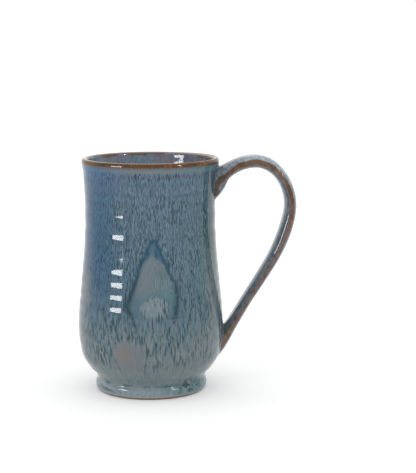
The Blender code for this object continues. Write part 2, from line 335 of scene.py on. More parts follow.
def mark_relief(front, height):
    """How far the run and the spot stand proud of the wall, or lie under it at their edges."""
    outline, caret, fill, _ = run_masks(front, height)
    spot = spot_mask(front, height)
    return 0.05 * MM * fill - 0.06 * MM * outline - 0.03 * MM * caret + 0.05 * MM * spot


def cup_surface(front, arc, depth=0.0):
    """Points on the finished surface, or this far under it."""
    radius = np.interp(arc, ARC, PROFILE_R)
    height = np.interp(arc, ARC, PROFILE_Z)
    out_r = np.interp(arc, ARC, NORMAL_R)
    out_z = np.interp(arc, ARC, NORMAL_Z)
    near_axis = ramp(radius, 0.0, 6 * MM)
    proud = cup_relief(front, arc) * near_axis - depth
    radius = np.maximum(radius + out_r * proud, 0.0)
    height = height + out_z * proud
    return np.stack([radius * np.sin(front), -radius * np.cos(front), height], axis=-1)


# ---------------------------------------------------------------- glaze colours, linear
def rgb(red, green, blue):
    """One colour, which may be multiplied and blended."""
    return np.array((red, green, blue))


GREY_BLUE = rgb(0.078, 0.131, 0.172)
DEEP_BLUE = rgb(0.007, 0.068, 0.148)
GREEN_GREY = rgb(0.060, 0.122, 0.138)
LILAC_GREY = rgb(0.130, 0.155, 0.172)
TEAL_DARK = rgb(0.024, 0.068, 0.092)
INK_BLUE = rgb(0.010, 0.062, 0.132)
PALE_BASE = rgb(0.150, 0.205, 0.212)
CARET_BLUE = rgb(0.052, 0.115, 0.175)
LINE_TEAL = rgb(0.002, 0.034, 0.048)
LINE_BLUE = rgb(0.002, 0.050, 0.098)
RUN_MIDDLE = rgb(0.165, 0.210, 0.230)
SMOOTH_GREY = rgb(0.140, 0.180, 0.205)
TAN_GREY = rgb(0.185, 0.190, 0.175)
SPOT_MAUVE = rgb(0.146, 0.165, 0.180)
SPOT_TAN = rgb(0.180, 0.155, 0.130)
PURPLE = rgb(0.085, 0.090, 0.140)
BROWN = rgb(0.122, 0.043, 0.004)
DARK_BROWN = rgb(0.050, 0.024, 0.010)
ORANGE_BROWN = rgb(0.175, 0.088, 0.040)
PALE_EDGE = rgb(0.430, 0.360, 0.300)
FADED_BROWN = rgb(0.100, 0.082, 0.080)
STRAP_PALE = rgb(0.236, 0.270, 0.306)
STRAP_VIOLET = rgb(0.088, 0.084, 0.108)
STRAP_RED = rgb(0.120, 0.082, 0.066)
STRAP_ASH = rgb(0.170, 0.165, 0.168)
LINER_PINK = rgb(0.230, 0.200, 0.230)
LINER_BLUE = rgb(0.125, 0.140, 0.175)

# Tints that the wall's colour is multiplied by
WHITE = rgb(1.0, 1.0, 1.0)
TOP_TINT = rgb(1.12, 1.08, 1.15)
BELLY_TINT = rgb(0.98, 0.98, 0.92)


def mix(first, second, share):
    """Blends two colours, or rows of them, by the share of the second."""
    share = np.clip(share, 0.0, 1.0)[..., None]
    return first * (1.0 - share) + second * share


def scaled(colour, factor):
    """The colours, each brighter or darker by its own factor."""
    return colour * factor[..., None]


# Places of the marks: angles in degrees to the right of the front, heights over the table
SHADED_ANGLE = 76.0
TAN_LEFT_ANGLE = -66.0
TAN_RIGHT_ANGLE = 62.0
TAN_HEIGHT = 58 * MM
NECK_BAND_HEIGHT = 123.6 * MM
NECK_TICKS_HEIGHT = 122.9 * MM
BROWN_EDGE_HEIGHT = 127.7 * MM
LINER_BROWN_HEIGHT = 128.6 * MM
RUST_ANGLE = 9.0
LINER_SHADE_ANGLE = 115.0
# Where the painted highlight on the crest is brightest
CREST_HIGHLIGHT_ANGLE = 6.0
FOOT_POOLS_ANGLE = 43.0
LINER_RADIUS = 34 * MM


def cup_glaze(front, arc):
    """(colour, streak strength) of the glaze all over the cup."""
    height = np.interp(arc, ARC, PROFILE_Z)
    degrees = np.degrees(front)
    outside = ramp(arc, ARC_CREST + 0.6 * MM, ARC_CREST - 0.6 * MM)
    circle = stacked(np.cos(front), np.sin(front), height / (60 * MM))
    broad = lumps(circle, 0.55, 21)
    fine = lumps(circle, 0.16, 22)

    back = ramp(np.abs(degrees), 172.0, 105.0)
    left = ramp(-degrees, 8.0, 62.0) * ramp(height, 30 * MM, 75 * MM) * back
    left = left * (1.0 - 0.3 * ramp(height, 104 * MM, 118 * MM))
    right = ramp(degrees, 5.0, 55.0) * back

    colour, streaks = wall_glaze(front, height, left, right, broad, fine)
    colour, streaks = run_glaze(colour, streaks, front, height, fine)
    colour, streaks = spot_glaze(colour, streaks, front, height)
    colour, streaks = neck_glaze(colour, streaks, height, left, right, broad, fine)
    colour, streaks = foot_glaze(colour, streaks, degrees, height, fine, right)
    colour, streaks = lip_glaze(colour, streaks, circle, height, outside, fine)

    inside = 1 - outside
    colour = mix(colour, liner_glaze(front, height, fine), inside)
    streaks = streaks * outside + 0.5 * inside
    # The crest is painted paler all round, partly for glaze worn thin there and partly as a painted
    # highlight, and paler still near the front, where it is only a painted highlight.
    crest = bell(arc, ARC_CREST + 0.35 * MM, 0.9 * MM)
    worn_edge_and_highlight = scaled(PALE_EDGE * 1.25, 1.0 + 0.5 * bell(degrees, CREST_HIGHLIGHT_ANGLE, 12.0))
    return mix(colour, worn_edge_and_highlight, 0.8 * crest), np.clip(streaks, 0.0, 1.6)


def wall_glaze(front, height, left, right, broad, fine):
    """The broad colours of the wall: deep blue on the left, grey-green on the right, lilac low down."""
    degrees = np.degrees(front)
    colour = mix(GREY_BLUE, DEEP_BLUE, 0.85 * left + 0.15 * broad)
    colour = mix(colour, GREEN_GREY, 0.6 * right + 0.2 * broad)
    colour = mix(colour, LILAC_GREY * 1.15, 0.85 * ramp(height, 60 * MM, 20 * MM) + 0.12 * fine)
    colour = mix(colour, PALE_BASE, 0.55 * ramp(height, 20 * MM, 12 * MM))
    # Painted shade: the wall beside the handle is darkened where the handle shades it.
    shaded = bell(degrees, SHADED_ANGLE, 15.0) * ramp(height, 66 * MM, 84 * MM)
    colour = scaled(colour, 1.0 - 0.62 * shaded)
    colour = colour * mix(WHITE, TOP_TINT, ramp(height, 98 * MM, 116 * MM))
    colour = colour * mix(WHITE, BELLY_TINT, ramp(height, 50 * MM, 32 * MM))
    # Darker bands along the three top throwing rings.
    for ring_height, strength in NECK_RINGS:
        ring_band = bell(height + 0.5 * MM * np.sin(front + 1.0), ring_height * MM, 1.1 * MM)
        colour = scaled(colour, 1.0 - 0.45 * strength * ring_band)
    tan_left = bell(degrees, TAN_LEFT_ANGLE, 9.0) * bell(height, TAN_HEIGHT, 17 * MM)
    tan_right = bell(degrees, TAN_RIGHT_ANGLE, 7.0) * bell(height, TAN_HEIGHT, 24 * MM)
    tan = np.maximum(tan_left, tan_right)
    colour = mix(colour, TAN_GREY, 0.6 * tan)
    calm = 0.78 * ramp(height, 27 * MM, 12 * MM) + 0.3 * ramp(height, 105 * MM, 118 * MM)
    streaks = (1.0 + 0.25 * broad - 0.5 * tan) * (1.0 - calm)

    tall = stacked(front * RUN_FRONT_RADIUS * MM, 0.3 * height)
    heavy = ramp(lumps(tall, 1.6 * MM, 76) + 0.4 * broad, 0.10, 0.35)
    heavy = heavy * ramp(height, 17 * MM, 26 * MM) * ramp(height, 56 * MM, 44 * MM)
    return mix(colour, TEAL_DARK * 1.8, 0.55 * heavy), streaks


def run_glaze(colour, streaks, front, height, fine):
    """The pointed run down the front, with a blue tip, a smooth grey fill and dark outlines."""
    outline, caret, fill, middle = run_masks(front, height)
    colour = mix(colour, mix(SMOOTH_GREY, SPOT_MAUVE, 0.4 + 1.5 * fine), 0.8 * fill)
    teal_side = ramp(height, 80 * MM, 62 * MM) * ramp(np.degrees(front), -8.0, 12.0)
    colour = mix(colour, GREEN_GREY * 1.3, 0.55 * teal_side * fill)
    colour = mix(colour, RUN_MIDDLE, 0.75 * middle)
    leg = fill * ramp(height, 66 * MM, 53 * MM)
    colour = mix(colour, TEAL_DARK * 1.8, (0.68 + 0.3 * fine) * leg * (1 - middle))
    streaks = streaks * (1 - (0.85 - 0.4 * teal_side) * fill + 0.35 * middle)
    line_colour = mix(LINE_TEAL, LINE_BLUE, ramp(height, 55 * MM, 75 * MM))
    colour = mix(colour, CARET_BLUE, (0.75 + 0.5 * fine) * caret)
    colour = mix(colour, line_colour, 0.9 * outline)
    return colour, streaks * (1 - 0.6 * outline)


def spot_glaze(colour, streaks, front, height):
    """The smooth mauve spot, toasted in its middle."""
    spot = spot_mask(front, height)
    toasted = bell(np.degrees(front), SPOT_ANGLE - 4.0, 7.0)
    toasted = toasted * bell(height, SPOT_HEIGHT + 1 * MM, 4 * MM)
    colour = mix(colour, mix(SPOT_MAUVE, SPOT_TAN, 0.8 * toasted), 0.88 * spot)
    return colour, streaks * (1 - 0.88 * spot)


def neck_glaze(colour, streaks, height, left, right, broad, fine):
    """The smooth paler band under the lip, and the row of dark ticks along its lower edge."""
    pale = ramp(height, NECK_BAND_HEIGHT, NECK_BAND_HEIGHT + 1.6 * MM)
    tint = mix(LILAC_GREY * 1.15, GREEN_GREY * 1.3, right)
    colour = mix(colour, mix(tint, DEEP_BLUE * 1.5, left), 0.75 * pale)
    streaks = streaks * (1 - 0.85 * pale)
    ticks = bell(height + 0.8 * MM * fine, NECK_TICKS_HEIGHT, 1.4 * MM) * (0.75 + 0.5 * broad)
    ticks = np.clip(ticks, 0, 1)
    colour = mix(colour, mix(PURPLE * 0.95, INK_BLUE * 2.4, left), 0.7 * ticks)
    return colour, streaks + 0.8 * ticks


def foot_glaze(colour, streaks, degrees, height, fine, right):
    """The foot: a pale mottled band with the dent, the drips, the bare base and the dark crease."""
    low = ramp(height, 9.5 * MM, 7.0 * MM)
    colour = mix(colour, mix(PALE_BASE * 1.1, LILAC_GREY * 1.9, 0.9 - 1.8 * right), 0.85 * low)
    colour = mix(colour, GREEN_GREY * 1.6, (0.45 * right + 0.1 + 0.9 * fine) * low)
    dent, ridge = foot_dent(degrees, height)
    colour = mix(colour, LILAC_GREY * 2.1, 0.8 * ridge)
    colour = mix(colour, PURPLE * 1.05, 0.9 * dent)
    turn = np.radians(degrees) * FOOT_RADIUS
    patches = lumps(stacked(turn, height), 2.4 * MM, 74)
    mottled = lumps(stacked(turn, height * 0.6), 1.3 * MM, 75)
    colour = mix(colour, GREEN_GREY * 1.3, (0.08 + 0.7 * mottled) * low)
    pools = bell(degrees, FOOT_POOLS_ANGLE, 16.0) * ramp(patches, 0.0, 0.2)
    pools = pools * bell(height, 6.5 * MM, 5.0 * MM)
    colour = mix(colour, TEAL_DARK * 0.6, 0.95 * pools)
    base_line = bell(height, 1.7 * MM, 0.5 * MM)
    colour = mix(colour, LILAC_GREY * 2.2, 0.5 * base_line)
    bare = ramp(height + 0.25 * MM * fine, 1.25 * MM, 0.75 * MM)
    colour = mix(colour, BROWN * 1.3, bare)
    crease = bell(height, FOOT_HEIGHT + 0.5 * MM, 1.0 * MM)
    colour = mix(colour, GREEN_GREY * 0.5, (0.3 + 0.7 * fine) * crease)
    return colour, streaks * (1 - 0.6 * low)


def lip_glaze(colour, streaks, circle, height, outside, fine):
    """The lip, where the glaze breaks to brown with orange specks above a faded edge."""
    brown_edge = BROWN_EDGE_HEIGHT + 0.35 * MM * fine
    brown = ramp(height, brown_edge - 0.5 * MM, brown_edge + 0.5 * MM)
    faded = ramp(height, brown_edge - 1.7 * MM, brown_edge) * outside
    colour = mix(colour, FADED_BROWN, 0.6 * faded)
    colour = mix(colour, mix(BROWN, DARK_BROWN, 0.5 + 0.9 * fine), brown)
    specks = ramp(lumps(circle, 0.045, 26), 0.15, 0.5)
    colour = mix(colour, ORANGE_BROWN * 1.2, 0.4 * brown * specks)
    return colour, streaks * (1 - 0.75 * brown)


def liner_glaze(front, height, fine):
    """The colour inside: blue, purple and pink in cloudy patches, brown along the lip."""
    degrees = np.degrees(front)
    ring = stacked(np.cos(front) * LINER_RADIUS, np.sin(front) * LINER_RADIUS, height)
    blotch = lumps(ring, 2.6 * MM, 23)
    patch = lumps(ring, 9.0 * MM, 24)
    colour = mix(LINER_BLUE * 1.8, GREEN_GREY * 2.2, 0.4 + 1.6 * blotch)
    colour = mix(colour, PURPLE * 1.9, 0.3 - 1.1 * fine)
    colour = mix(colour, LINER_PINK, 0.2 + 1.4 * patch - 0.8 * blotch)
    toward_back = np.clip(-np.cos(front - math.radians(RUST_ANGLE)), -1.0, 1.0)
    rust = 2.7 * MM * bell(np.degrees(np.arccos(toward_back)), 0.0, 9.0)
    brown_place = height + rust + 2.6 * MM * patch + 0.8 * MM * blotch
    brown = ramp(brown_place, LINER_BROWN_HEIGHT, LINER_BROWN_HEIGHT + 1.0 * MM)
    colour = mix(colour, BROWN * 0.9, 0.8 * brown)
    # Painted shade inside the cup, darkest towards the back on the right.
    return scaled(colour, 1.0 - 0.35 * bell(degrees, LINER_SHADE_ANGLE, 35.0))


# ---------------------------------------------------------------- the strap
def strap_stations():
    """The stations in metres, stretched along X so that the strap reaches as far as the CAD handle."""
    rows = np.array(HANDLE_STATIONS) * MM
    reach = smooth_curve(rows, 8)[:, 0].max()
    rows[:, [0, 2]] *= HANDLE_REACH / reach
    return rows


STRAP_ROWS = 900
STRAP_COLUMNS = 96
STRAP_SQUARENESS = 2.35
JOIN_ON_STRAP = 2.0 * MM
JOIN_ON_WALL = 2.1 * MM
JOIN_STEPS = 10


def strap_section(turn, squareness):
    """(share of half thickness, share of half width) round the section, from its back."""
    across = np.sign(np.cos(turn)) * np.abs(np.cos(turn)) ** (2 / squareness)
    side = np.sign(np.sin(turn)) * np.abs(np.sin(turn)) ** (2 / squareness)
    return across, side


def strap_surface(depth=0.0, columns=STRAP_COLUMNS, rows=STRAP_ROWS):
    """Points [row][column] on the strap from inside the wall at the top to inside it at the tail."""
    curve = smooth_curve(strap_stations(), 24)
    centres = (curve[:, :2] + curve[:, 2:4]) / 2
    length = lengths_along(centres)
    even = np.linspace(0.0, length[-1], rows)
    stations = [np.interp(even, length, curve[:, k])[:, None] for k in range(5)]
    back_x, back_z, hollow_x, hollow_z, half_wide = stations
    thickness = np.hypot(back_x - hollow_x, back_z - hollow_z)
    unit_x = (back_x - hollow_x) / thickness
    unit_z = (back_z - hollow_z) / thickness
    turn = np.linspace(0.0, math.tau, columns, endpoint=False)
    across, side = strap_section(turn, STRAP_SQUARENESS)
    lump = lumps(stacked(even[:, None] / (16 * MM), np.cos(turn), np.sin(turn)), 1.0, 31)
    groove = 0.16 * MM * bell(side, 0.0, 0.33) * (across > 0)
    groove = groove - 0.10 * MM * bell(np.abs(side), 0.55, 0.16)
    middle = ramp(even, 12 * MM, 30 * MM) * ramp(length[-1] - even, 12 * MM, 30 * MM)
    proud = 0.10 * MM * lump - groove * middle[:, None] - depth
    half_thick = thickness / 2 + proud
    x = (back_x + hollow_x) / 2 + unit_x * across * half_thick
    z = (back_z + hollow_z) / 2 + unit_z * across * half_thick
    return stacked(x, side * (half_wide + proud), z), even, across, side


def wall_height_above(points):
    """How far each point stands outside the wall, measured square to the cup's axis."""
    radius = np.hypot(points[..., 0], points[..., 1])
    front = np.arctan2(points[..., 0], -points[..., 1])
    return radius - wall_radius(front, points[..., 2])


def wall_radius(front, height):
    """How far the finished wall stands from the cup's axis, at this angle and height."""
    arc = np.interp(height, PROFILE_Z[OUTSIDE], ARC[OUTSIDE])
    surface = cup_surface(front, arc)
    return np.hypot(surface[..., 0], surface[..., 1])


def joined_strap(depth, columns, rows):
    """The strap with a fillet on to the wall at each end: its points, the share of wall in each row, and how
    far along, through and across the strap each point lies."""
    points, even, across, side = strap_surface(depth, columns)
    clear = wall_height_above(points)
    top_row = np.empty(columns)
    tail_row = np.empty(columns)
    for column in range(columns):
        outside = clear[:, column] > 0
        first = int(np.argmax(outside))
        last = len(outside) - 1 - int(np.argmax(outside[::-1]))
        top_row[column] = first - clear[first, column] / (clear[first, column] - clear[first - 1, column])
        tail_row[column] = last + clear[last, column] / (clear[last, column] - clear[last + 1, column])
    spacing = even[1] - even[0]
    start = top_row + JOIN_ON_STRAP / spacing
    stop = tail_row - JOIN_ON_STRAP / spacing
    share = np.linspace(0.0, 1.0, rows)[:, None]
    wanted = start + (stop - start) * share
    strap = at_rows(points, wanted)
    path = np.interp(wanted, np.arange(len(even)), even)
    under_chin = JOIN_ON_WALL * (1.0 - 0.6 * ramp(-across, 0.0, 0.8))
    top = fillet(at_rows(points, top_row[None])[0], strap[0], under_chin[:, None])
    tail = fillet(at_rows(points, tail_row[None])[0], strap[-1], JOIN_ON_WALL)[::-1]
    blend = np.linspace(1.0, 0.0, JOIN_STEPS + 1)[:-1]
    wall_share = np.r_[blend, np.zeros(rows), blend[::-1]]
    grid = np.concatenate([top, strap, tail])
    path = np.concatenate([np.repeat(path[:1], JOIN_STEPS, 0), path, np.repeat(path[-1:], JOIN_STEPS, 0)])
    wall_share, across, side, _ = np.broadcast_arrays(wall_share[:, None], across, side, path)
    return grid, wall_share, path, across, side


def at_rows(points, rows):
    """Points of each column at fractional rows."""
    low = np.clip(np.floor(rows).astype(int), 0, len(points) - 2)
    part = (rows - low)[..., None]
    column = np.arange(points.shape[1])[None]
    return points[low, column] * (1 - part) + points[low + 1, column] * part


def fillet(crossing, on_strap, reach):
    """Rows of a hollow curve from the wall to the strap, tangent to both, without the strap's own row. reach
    is how far it spreads over the wall."""
    front = np.arctan2(crossing[:, 0], -crossing[:, 1])
    mean_radius = np.hypot(crossing[:, 0], crossing[:, 1]).mean()
    flat = np.stack([front * mean_radius, crossing[:, 2]], axis=1)
    along = np.roll(flat, -1, 0) - np.roll(flat, 1, 0)
    outward = np.stack([along[:, 1], -along[:, 0]], axis=1)
    outward /= np.linalg.norm(outward, axis=1)[:, None]
    if ((flat - flat.mean(0)) * outward).sum() < 0:
        outward = -outward
    on_wall = flat + outward * reach
    strap_front = np.arctan2(on_strap[:, 0], -on_strap[:, 1])
    strap_flat = np.stack([strap_front * mean_radius, on_strap[:, 2]], axis=1)
    strap_clear = wall_height_above(on_strap)
    rows = []
    for step in range(JOIN_STEPS):
        t = step / JOIN_STEPS
        place = on_wall * (1 - t) ** 2 + flat * 2 * t * (1 - t) + strap_flat * t**2
        clear = strap_clear * t**2 - 0.02 * MM * (1 - t) ** 6
        angle = place[:, 0] / mean_radius
        radius = wall_radius(angle, place[:, 1]) + clear
        rows.append(np.stack([radius * np.sin(angle), -radius * np.cos(angle), place[:, 1]], axis=1))
    return np.array(rows)


# Where the brown edge lies along the strap: (share of its length, middle, half width), from hollow to back
BROWN_TRACK = [
    (0.00, -0.20, 0.52), (0.010, -0.10, 0.50), (0.022, 0.06, 0.40), (0.04, 0.12, 0.34), (0.08, 0.08, 0.38),
    (0.14, 0.04, 0.40), (0.25, 0.00, 0.34), (0.34, 0.16, 0.30), (0.42, 0.32, 0.32), (0.50, 0.24, 0.37),
    (0.60, 0.14, 0.33), (0.85, 0.14, 0.33), (0.93, 0.10, 0.42), (1.00, 0.00, 0.65),
]
# How far the violet line under it reaches, the same way
VIOLET_TRACK = [
    (0.00, 0.40), (0.10, 0.60), (0.30, 0.52), (0.42, 0.50), (0.52, 0.34), (0.62, 0.20), (1.00, 0.20),
]


def strap_bands(points, share, across, side, coarse, fine):
    """The brown edge, the violet line under it and the one over it, each from 0 to 1."""
    track = np.array(BROWN_TRACK)
    middle = np.interp(share, track[:, 0], track[:, 1]) + 0.12 * coarse
    width = np.interp(share, track[:, 0], track[:, 2]) * (1.0 + 0.25 * fine)
    edge = ramp(np.abs(side), 0.42, 0.68)
    brown = edge * ramp(np.abs(across - middle), width + 0.10, width - 0.10)
    upper_end = ramp(share, 0.30, 0.20)
    off_wall = wall_height_above(points)
    hugging = edge * ramp(off_wall, 3.4 * MM, 2.2 * MM)
    hugging = hugging * ramp(across, 0.55, 0.25) * ramp(across, -0.98, -0.80)
    clear_of_wall = 1.0 - upper_end * ramp(across, 0.0, -0.35) * ramp(off_wall, 9 * MM, 6 * MM)
    brown = np.maximum(brown * clear_of_wall, upper_end * hugging)
    track = np.array(VIOLET_TRACK)
    low_end = middle - width - np.interp(share, track[:, 0], track[:, 1])
    under = edge * ramp(across, low_end - 0.08, low_end + 0.10)
    under = under * ramp(across, middle - width + 0.2, middle - width)
    over = edge * bell(across, middle + width + 0.18, 0.24)
    return brown, under, over


def strap_glaze(points, path, across, side):
    """(colour, streak strength) along the strap: grey-blue faces, brown edges where the glaze is thin."""
    share = (path - path.min()) / (path.max() - path.min())
    coarse = lumps(points, 9 * MM, 41)
    fine = lumps(points, 2.6 * MM, 42)
    brown, under, over = strap_bands(points, share, across, side, coarse, fine)
    orange = 0.55 * ramp(share, 0.93, 0.98) + ramp(coarse, -0.2, 0.25) * ramp(share, 0.5, 0.4)
    hue = mix(BROWN, STRAP_RED, ramp(share, 0.4, 0.55) - 0.3 * fine)
    hue = mix(hue, ORANGE_BROWN, 0.8 * orange)
    hue = mix(hue, DARK_BROWN, 0.22 + 0.5 * fine + 0.55 * ramp(share, 0.12, 0.03))
    hue = scaled(hue, 1.0 + 0.25 * ramp(share, 0.36, 0.5))
    arch = ramp(share, 0.08, 0.16) * ramp(share, 0.35, 0.24)
    descent = ramp(share, 0.36, 0.48)
    face = mix(STRAP_PALE, GREY_BLUE * 1.3, 0.36 - 0.2 * arch + 0.8 * fine)
    face = scaled(face, 1.0 + 0.55 * arch * ramp(across, 0.1, 0.5))
    face = scaled(face, 1.0 - 0.22 * descent * ramp(across, 0.0, -0.4))
    under_hue = mix(STRAP_VIOLET, STRAP_ASH, 0.8 * ramp(share, 0.42, 0.30))
    face = mix(face, under_hue, 0.9 * under)
    face = mix(face, STRAP_VIOLET * 1.35, 0.85 * over * descent)
    return mix(face, hue, 0.94 * brown), 0.75 - 0.45 * brown


# ---------------------------------------------------------------- meshes
SHARP_ANGLE = math.radians(50.0)
HIDDEN_SIDE_STREAKS = 0.3


def ring_faces(first, second, columns):
    """Quads between two rings of vertices that start at these numbers."""
    here = np.arange(columns)
    there = (here + 1) % columns
    return np.stack([first + here, first + there, second + there, second + here], axis=1)


def grid_faces(start, rows, columns, flip=False):
    """Quads between every two neighbouring rings of a grid of vertices."""
    faces = np.concatenate([ring_faces(start + r * columns, start + (r + 1) * columns, columns)
                            for r in range(rows - 1)])
    return faces[:, ::-1] if flip else faces


def edge_strip(fine_start, fine_columns, coarse_start, coarse_columns, flip):
    """Faces from a fine ring to a coarse one, each a coarse edge and the fine edges beside it."""
    ratio = fine_columns // coarse_columns
    faces = []
    for step in range(coarse_columns):
        fine = [fine_start + (step * ratio + k) % fine_columns for k in range(ratio + 1)]
        face = fine + [coarse_start + (step + 1) % coarse_columns, coarse_start + step]
        faces.append(face[::-1] if flip else face)
    return faces


def to_mesh(name, points, faces, attributes=()):
    """A smooth object of these points and faces, given from the cup's axis, with named point attributes."""
    mesh = bpy.data.meshes.new(name)
    mesh.from_pydata(points.tolist(), [], faces)
    mesh.update()
    for label, kind, values in attributes:
        layer = mesh.attributes.new(label, kind, "POINT")
        if kind == "FLOAT_COLOR":
            values = np.concatenate([values, np.ones((len(values), 1))], axis=1)
        slot = {"FLOAT": "value", "FLOAT_VECTOR": "vector", "FLOAT_COLOR": "color"}[kind]
        layer.data.foreach_set(slot, np.ascontiguousarray(values, np.float32).reshape(-1))
    mesh.shade_smooth()
    mesh.set_sharp_from_angle(angle=SHARP_ANGLE)
    piece = bpy.data.objects.new(name, mesh)
    piece.location.x = AXIS_X
    bpy.context.scene.collection.objects.link(piece)
    return piece


def coat(name, outer, inner, colour, streaks, coarse, flow, cap=False):
    """A closed skin. outer is a fine grid of points, inner a coarser one under it, and cap closes the last
    rows on the axis instead of with an edge strip."""
    rows, columns = outer.shape[:2]
    inner_rows, inner_columns = inner.shape[:2]
    start = rows * columns
    points = np.concatenate([outer.reshape(-1, 3), inner.reshape(-1, 3)])
    faces = grid_faces(0, rows, columns).tolist()
    faces += grid_faces(start, inner_rows, inner_columns, flip=True).tolist()
    faces += edge_strip(0, columns, start, inner_columns, flip=True)
    last, inner_last = (rows - 1) * columns, start + (inner_rows - 1) * inner_columns
    if cap:
        points = np.concatenate([points, outer[-1].mean(0)[None], inner[-1].mean(0)[None]])
        top, under = len(points) - 2, len(points) - 1
        faces += [[last + k, last + (k + 1) % columns, top] for k in range(columns)]
        faces += [[inner_last + (k + 1) % inner_columns, inner_last + k, under]
                  for k in range(inner_columns)]
    else:
        faces += edge_strip(last, columns, inner_last, inner_columns, flip=False)
    extra = len(points) - start
    colour = np.concatenate([colour.reshape(-1, 3), np.tile(colour.reshape(-1, 3)[-1], (extra, 1))])
    streaks = np.concatenate([streaks.reshape(-1), np.full(extra, HIDDEN_SIDE_STREAKS)])
    coarse = np.concatenate([coarse.reshape(-1), np.full(extra, HIDDEN_SIDE_STREAKS)])
    flow = np.concatenate([flow.reshape(-1, 3), points[start:]])
    return to_mesh(name, points, faces, [
        ("tint", "FLOAT_COLOR", colour), ("streaks", "FLOAT", streaks),
        ("coarse", "FLOAT", coarse), ("flow", "FLOAT_VECTOR", flow)])


CUP_COLUMNS = 480
WALL_ROW_SPACING = 0.66 * MM
INNER_COLUMNS = 80
FLOW_RADIUS = 38.0 * MM
EDGE_THINNING = 0.36 * MM


def cup_coat(name, first_arc, last_arc, rows, inner_rows, columns=CUP_COLUMNS, cap=False, wavy=None):
    """A stretch of the cup's glaze, between two places along the profile. wavy gives how far its first edge
    wanders from the first place, at each angle."""
    front = np.linspace(-math.pi, math.pi, columns, endpoint=False)
    inner_front = np.linspace(-math.pi, math.pi, INNER_COLUMNS, endpoint=False)
    share = np.linspace(0.0, 1.0, rows)[:, None]
    inner_share = np.linspace(0.0, 1.0, inner_rows)[:, None]
    low = first_arc + (wavy(front) if wavy else np.zeros_like(front))
    inner_low = first_arc + (wavy(inner_front) if wavy else np.zeros_like(inner_front))
    angle, arc = np.broadcast_arrays(front, low + (last_arc - low) * share)
    inner_arc = inner_low + (last_arc - inner_low) * inner_share
    inner_angle, inner_arc = np.broadcast_arrays(inner_front, inner_arc)
    thinning = EDGE_THINNING * ramp(arc - low, 0.7 * MM, 0.0) if wavy else 0.0
    outer = cup_surface(angle, arc, thinning)
    inner = cup_surface(inner_angle, inner_arc, GLAZE)
    colour, streaks = cup_glaze(angle, arc)
    height = np.interp(arc, ARC, PROFILE_Z)
    radius = np.interp(arc, ARC, PROFILE_R)
    spread = np.where(radius < 30 * MM, radius, FLOW_RADIUS)
    flow_z = np.where(arc > ARC_CREST, 3.0 * arc, height)
    flow = stacked(spread * np.sin(angle), -spread * np.cos(angle), flow_z)
    coarse = np.where(arc < ARC_CREST, ramp(height, 80 * MM, 42 * MM), 0.4)
    return coat(name, outer, inner, colour, streaks, coarse, flow, cap)


def handle_coat(name):
    """The glaze over the strap and its joints, which takes the wall's colours where it meets the wall."""
    outer, wall_share, path, across, side = joined_strap(0.0, STRAP_COLUMNS, 330)
    inner_all, _, _, _, _ = joined_strap(GLAZE, STRAP_COLUMNS // 4, 110)
    inner = inner_all[JOIN_STEPS - 3 : -(JOIN_STEPS - 3)]
    colour, streaks = strap_glaze(outer, path, across, side)
    front = np.arctan2(outer[..., 0], -outer[..., 1])
    arc = np.interp(outer[..., 2], PROFILE_Z[OUTSIDE], ARC[OUTSIDE])
    wall_colour, wall_streaks = cup_glaze(front, arc)
    crease = bell(wall_share, 0.45, 0.22)
    mixed = mix(colour, wall_colour, ramp(wall_share, 0.1, 0.75))
    mixed = mix(mixed, GREEN_GREY * 0.35, 0.6 * crease)
    streaks = streaks + (wall_streaks - streaks) * ramp(wall_share, 0.1, 0.8)
    coarse = 0.2 + 0.6 * ramp(wall_share, 0.3, 0.8) * ramp(outer[..., 2], 80 * MM, 42 * MM)
    return coat(name, outer, inner, mixed, streaks, coarse, strap_flow(outer))


def strap_flow(grid):
    """Where the streaks lie on the strap: along it where it falls, and across it where it lies level."""
    centre = grid.mean(axis=1)
    step = np.gradient(centre, axis=0)
    step_length = np.hypot(step[:, 0], step[:, 2])
    level = ramp(np.abs(step[:, 0]) / step_length, 0.72, 0.95)
    along_x = np.cumsum(step_length * level)[:, None]
    along_z = np.cumsum(step_length * (1.0 - level))[:, None]
    away = grid - centre[:, None]
    proud = (away[..., 0] * -step[:, None, 2] + away[..., 2] * step[:, None, 0]) / step_length[:, None]
    level = level[:, None]
    return stacked(along_x + proud * (1.0 - level), grid[..., 1], along_z + proud * level)


# ---------------------------------------------------------------- clay pieces
def turned_clay(name, outline, columns):
    """A solid of revolution from a closed outline, or one that starts and ends on the axis."""
    radius, height = np.array(outline).T
    front = np.linspace(0.0, math.tau, columns, endpoint=False)
    on_axis = radius[0] == 0.0
    body = slice(1, -1) if on_axis else slice(None)
    ring_r, ring_z = radius[body][:, None], height[body][:, None]
    grid = stacked(ring_r * np.sin(front), -ring_r * np.cos(front), ring_z)
    rows = len(grid)
    points = grid.reshape(-1, 3)
    faces = grid_faces(0, rows, columns).tolist()
    if on_axis:
        points = np.concatenate([points, [(0, 0, height[0]), (0, 0, height[-1])]])
        bottom, top = rows * columns, rows * columns + 1
        last = (rows - 1) * columns
        faces += [[(k + 1) % columns, k, bottom] for k in range(columns)]
        faces += [[last + k, last + (k + 1) % columns, top] for k in range(columns)]
    else:
        faces += ring_faces((rows - 1) * columns, 0, columns).tolist()
    return to_mesh(name, points, faces)


BOSS_RADIUS = 24.2 * MM
CUP_BOTTOM_RADIUS = 28.9 * MM
CUP_BOTTOM_HEIGHT = FOOT_HEIGHT + 0.05 * MM
TOOL_RING_DEPTH = 0.10 * MM


def recess_outline():
    """The turned underside inside the foot, with shallow tool rings round a small raised centre."""
    radius = np.linspace(0.0, BOSS_RADIUS, 90)
    tool_rings = TOOL_RING_DEPTH * np.sin(radius / (0.42 * MM)) * ramp(radius, 0, 4 * MM)
    height = RECESS_HEIGHT + tool_rings - 0.5 * MM * ramp(radius, 10 * MM, 0.0)
    height = np.maximum(height, RECESS_HEIGHT - 0.6 * MM)
    return list(zip(radius, height))


